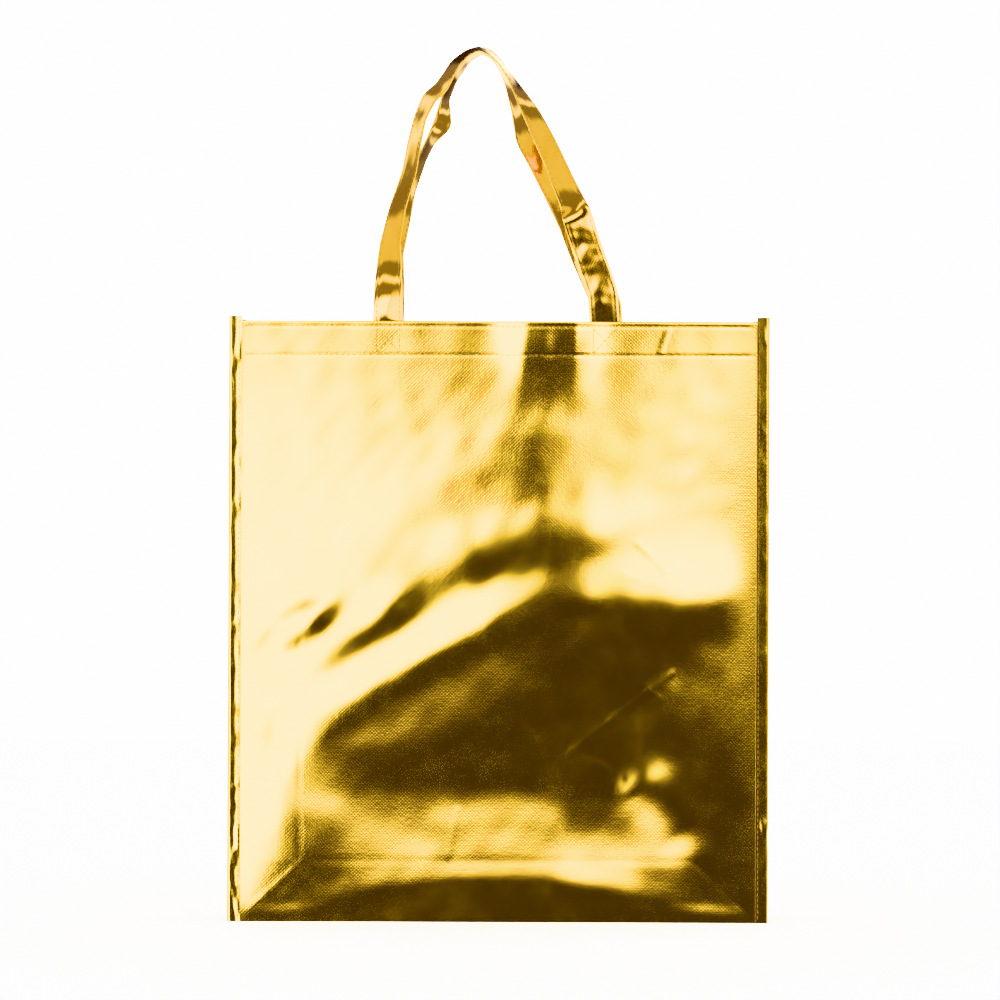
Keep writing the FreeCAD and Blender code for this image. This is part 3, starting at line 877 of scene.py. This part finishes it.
def strap_frames(side):
    """The centre of a strap at each station, and the directions along, across and through it."""
    x, rise, turn, at = strap_stations(side)
    along = np.stack([np.gradient(x), np.zeros_like(x), np.gradient(rise)], -1)
    along /= np.linalg.norm(along, axis=1)[:, None]
    inward = np.stack([along[:, 2], np.zeros_like(x), -along[:, 0]], -1)
    outward = np.array([0.0, side, 0.0])
    sine, cosine = np.sin(turn)[:, None], np.cos(turn)[:, None]
    across = inward * cosine + outward * sine
    through = outward * cosine - inward * sine
    stand = STRAP_PLANE + STRAP_WIDTH / 2 * np.sin(turn) + hem_push(side, x, rise)
    centre = np.stack([x, side * stand, BAG_HEIGHT + rise], -1)
    return centre, along, across, through, at


def hem_push(side, x, rise):
    """How far the swelling of the hem carries a strap outwards."""
    return relief(side, x, np.full_like(x, BAG_HEIGHT - 1 * MM)) * ease(1 - rise / (70 * MM))


def strap_relief(side, at, off):
    """Creases and the pull of the stitching across a strap."""
    rows = -0.10 * MM * np.exp(-(((np.abs(off) - (STRAP_WIDTH / 2 - STRAP_ROW)) / (0.7 * MM)) ** 2))
    loose = ease((at - 24 * MM) / (20 * MM)) * ease((at.max() - 24 * MM - at) / (20 * MM))
    facets = loose * crumple(at, off * 1.2, 30 * MM, 0.7 * MM, 90 + side)
    wrinkled = ease((at - at.max() + 110 * MM) / (15 * MM)) * ease((at.max() - 30 * MM - at) / (10 * MM))
    wrinkles = wrinkled * crumple(at, off * 0.7, 9 * MM, 0.35 * MM, 130 + side)
    return rows + facets + wrinkles


def make_handle(side):
    """A strap: cloth folded to a flat band, both ends in the hem."""
    centre, along, across, through, at = strap_frames(side)
    half, thick = STRAP_WIDTH / 2, STRAP_THICKNESS / 2
    face = np.linspace(half - thick, -half + thick, STRAP_ACROSS)
    edge = np.radians((-60, -30, 0, 30, 60))
    ring = (
        [(off, thick) for off in face]
        + [(-half + thick - thick * math.cos(a), -thick * math.sin(a)) for a in edge]
        + [(-off, -thick) for off in face]
        + [(half - thick + thick * math.cos(a), thick * math.sin(a)) for a in edge]
    )
    offs, lifts = np.array(ring).T
    grid_at, grid_off = np.meshgrid(at, offs, indexing="ij")
    lift = lifts[None, :] + strap_relief(side, grid_at, grid_off)
    rings = centre[:, None] + across[:, None] * grid_off[..., None] + through[:, None] * lift[..., None]
    places = np.stack([grid_off, grid_at, np.zeros_like(grid_at)], -1)
    name = f"{SIDE_NAMES[side]}_handle"
    piece = tube(f"{name}_strap", rings, [GOLD_STRAP], places)
    bend_with_handle(piece)
    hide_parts(name, f"{name}_left_end", f"{name}_right_end")
    return piece


def bend_with_handle(piece):
    """Bakes a piece of a handle's placing into its mesh."""
    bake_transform(piece)


def make_handle_stitching(side):
    """A row near each edge of a strap, on both faces."""
    centre, along, across, through, at = strap_frames(side)
    shown = np.arange(STITCHED_FROM, at[-1] - STITCHED_FROM, STITCH_PITCH)
    runs = []
    for edge in (-1, 1):
        off = edge * (STRAP_WIDTH / 2 - STRAP_ROW)
        lift = strap_relief(side, at, np.full_like(at, off))
        for face in (-1, 1):
            height = lift + face * (STRAP_THICKNESS / 2 + 0.04 * MM)
            line = centre + across * off + through * height[:, None]
            centres = np.stack([np.interp(shown, at, line[:, k]) for k in range(3)], -1)
            ahead = np.stack([np.interp(shown + 1 * MM, at, line[:, k]) for k in range(3)], -1)
            normals = np.stack([np.interp(shown, at, through[:, k]) for k in range(3)], -1)
            runs.append((centres, ahead - centres, face * normals))
    name = f"{SIDE_NAMES[side]}_handle"
    piece = dashes(f"{name}_thread", *joined_runs(runs))
    bend_with_handle(piece)
    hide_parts(f"{name}_stitching")


# ---------------------------------------------------------------- studio

BACKGROUND = 8.0  # what the camera sees
AMBIENT = 4.0  # what lights the cloth and the floor
FLOOR_GLOW = 1.5
DARKEST, BRIGHTEST = 0.06, 9.0  # the range of the light that the film mirrors
BOX_LEAN = 0.35
FLOOR_HALF = 3.0
FLOOR_DROP = 0.2 * MM
DARK_TINT = (1.0, 0.71, 1.1)
BRIGHT_TINT = (0.98, 1.02, 0.78)


def mix_shader(tree, factor, first, second):
    """The first shader where factor is 0 and the second where it is 1."""
    node = add(tree, "ShaderNodeMixShader")
    for socket, value in zip(node.inputs, (factor, first, second)):
        tree.links.new(value, socket)
    return node.outputs[0]


def band(tree, angle, low, high, low_to=0.0, high_to=1.0):
    """A smooth step between two angles in degrees."""
    return smooth_range(tree, angle, math.radians(low), math.radians(high), low_to, high_to)


def product(tree, *shares):
    """The product of several values."""
    total = shares[0]
    for share in shares[1:]:
        total = maths(tree, "MULTIPLY", total, share)
    return total


def greatest(tree, *shares):
    """The greatest of several values."""
    total = shares[0]
    for share in shares[1:]:
        total = maths(tree, "MAXIMUM", total, share)
    return total


def soft_boxes(tree, sideways, upwards):
    """A soft box at each side of a dark middle that leans, both ending above and far aside."""
    aside = maths(tree, "ABSOLUTE", sideways)
    lean = maths(tree, "MULTIPLY", upwards, BOX_LEAN)
    left_edge = band(tree, maths(tree, "SUBTRACT", sideways, lean), -7.0, -0.5, 1, 0)
    left = product(tree, left_edge, band(tree, upwards, -22, -12))
    right_edge = band(tree, maths(tree, "ADD", sideways, lean), 1.5, 8.5)
    right = product(tree, right_edge, band(tree, upwards, -4, 4))
    ends = (band(tree, aside, 28, 38, 1, 0), band(tree, upwards, 13, 22, 1, 0))
    return product(tree, greatest(tree, left, right), *ends)


def surroundings(tree, sideways, upwards):
    """The bright floor, a screen at each side, the room, its walls and its ceiling."""
    aside = maths(tree, "ABSOLUTE", sideways)
    floor = product(tree, band(tree, upwards, -17, -8, 0.92, 0), band(tree, aside, 27, 46, 1, 0.35))
    screen_edges = product(tree, band(tree, aside, 41, 52), band(tree, aside, 53, 61, 0.85, 0))
    screen = product(tree, screen_edges, band(tree, upwards, -44, -30))
    room = band(tree, aside, 24, 36, 0, 0.38)
    wall = band(tree, aside, 62, 74, 0, 0.62)
    ceiling = band(tree, upwards, 46, 72, 0, 0.5)
    return greatest(tree, floor, screen, room, wall, ceiling)


def backdrop(tree, strength):
    """A plain white light all around."""
    node = add(tree, "ShaderNodeBackground", Strength=strength)
    node.inputs["Color"].default_value = (1, 1, 1, 1)
    return node.outputs[0]


def make_world():
    """A white backdrop for the camera, soft light for the cloth and a studio for the film to mirror."""
    world = bpy.data.worlds.new("studio")
    bpy.context.scene.world = world
    world.use_nodes = True
    tree = world.node_tree
    for node in list(tree.nodes):
        tree.nodes.remove(node)
    way = add(tree, "ShaderNodeSeparateXYZ")
    tree.links.new(add(tree, "ShaderNodeTexCoord").outputs["Generated"], way.inputs[0])
    x, y, z = way.outputs
    sideways = maths(tree, "ARCTAN2", x, maths(tree, "ABSOLUTE", y))
    upwards = maths(tree, "ARCSINE", z)
    boxes, around = (part(tree, sideways, upwards) for part in (soft_boxes, surroundings))
    share = greatest(tree, boxes, around)
    light = product(tree, maths(tree, "POWER", BRIGHTEST / DARKEST, share), DARKEST)
    studio = add(tree, "ShaderNodeBackground")
    tree.links.new(light, studio.inputs["Strength"])
    tree.links.new(mix_colour(tree, share, DARK_TINT, BRIGHT_TINT), studio.inputs["Color"])
    path = add(tree, "ShaderNodeLightPath")
    glossy, camera = path.outputs["Is Glossy Ray"], path.outputs["Is Camera Ray"]
    mirrored = mix_shader(tree, glossy, backdrop(tree, AMBIENT), studio.outputs[0])
    seen = mix_shader(tree, camera, mirrored, backdrop(tree, BACKGROUND))
    tree.links.new(seen, add(tree, "ShaderNodeOutputWorld").inputs["Surface"])


def make_floor():
    """A plain pale floor, which the gold doesn't mirror."""
    half = FLOOR_HALF
    points = [(-half, -half, 0), (half, -half, 0), (half, half, 0), (-half, half, 0)]
    mesh = bpy.data.meshes.new("floor")
    mesh.from_pydata(points, [], [(0, 1, 2, 3)])
    floor = bpy.data.objects.new("floor", mesh)
    bpy.context.scene.collection.objects.link(floor)
    material, tree, shader = new_material("pale_floor")
    shader.inputs["Base Color"].default_value = (0.95, 0.95, 0.95, 1)
    shader.inputs["Emission Color"].default_value = (1, 1, 1, 1)
    shader.inputs["Emission Strength"].default_value = FLOOR_GLOW
    shader.inputs["Roughness"].default_value = 0.9
    mesh.materials.append(material)
    floor.location.z = -FLOOR_DROP
    floor.visible_glossy = False


def make_camera():
    """A long lens, level with the upper half of the bag and square to its front."""
    data = bpy.data.cameras.new("camera")
    data.lens = 216.4
    data.sensor_width = 36
    camera = bpy.data.objects.new("camera", data)
    camera.location = (0.0007, -4.04, 0.281)
    camera.rotation_euler = (math.radians(90), math.radians(-0.22), 0)
    bpy.context.scene.collection.objects.link(camera)
    bpy.context.scene.camera = camera


# ---------------------------------------------------------------- the whole bag

make_camera()
make_world()
make_floor()
bpy.context.scene.view_settings.view_transform = "Khronos PBR Neutral"

for side in (FRONT, BACK):
    make_panel(side)
    make_handle(side)
    make_handle_stitching(side)
    make_hem_stitching(side)
    for end in (LEFT, RIGHT):
        make_binding(side, end)
        make_binding_stitching(side, end)
        make_box_stitching(side, end)
make_base()
for end in (LEFT, RIGHT):
    make_gusset(end)
    make_base_binding(end)
    make_base_binding_stitching(end)
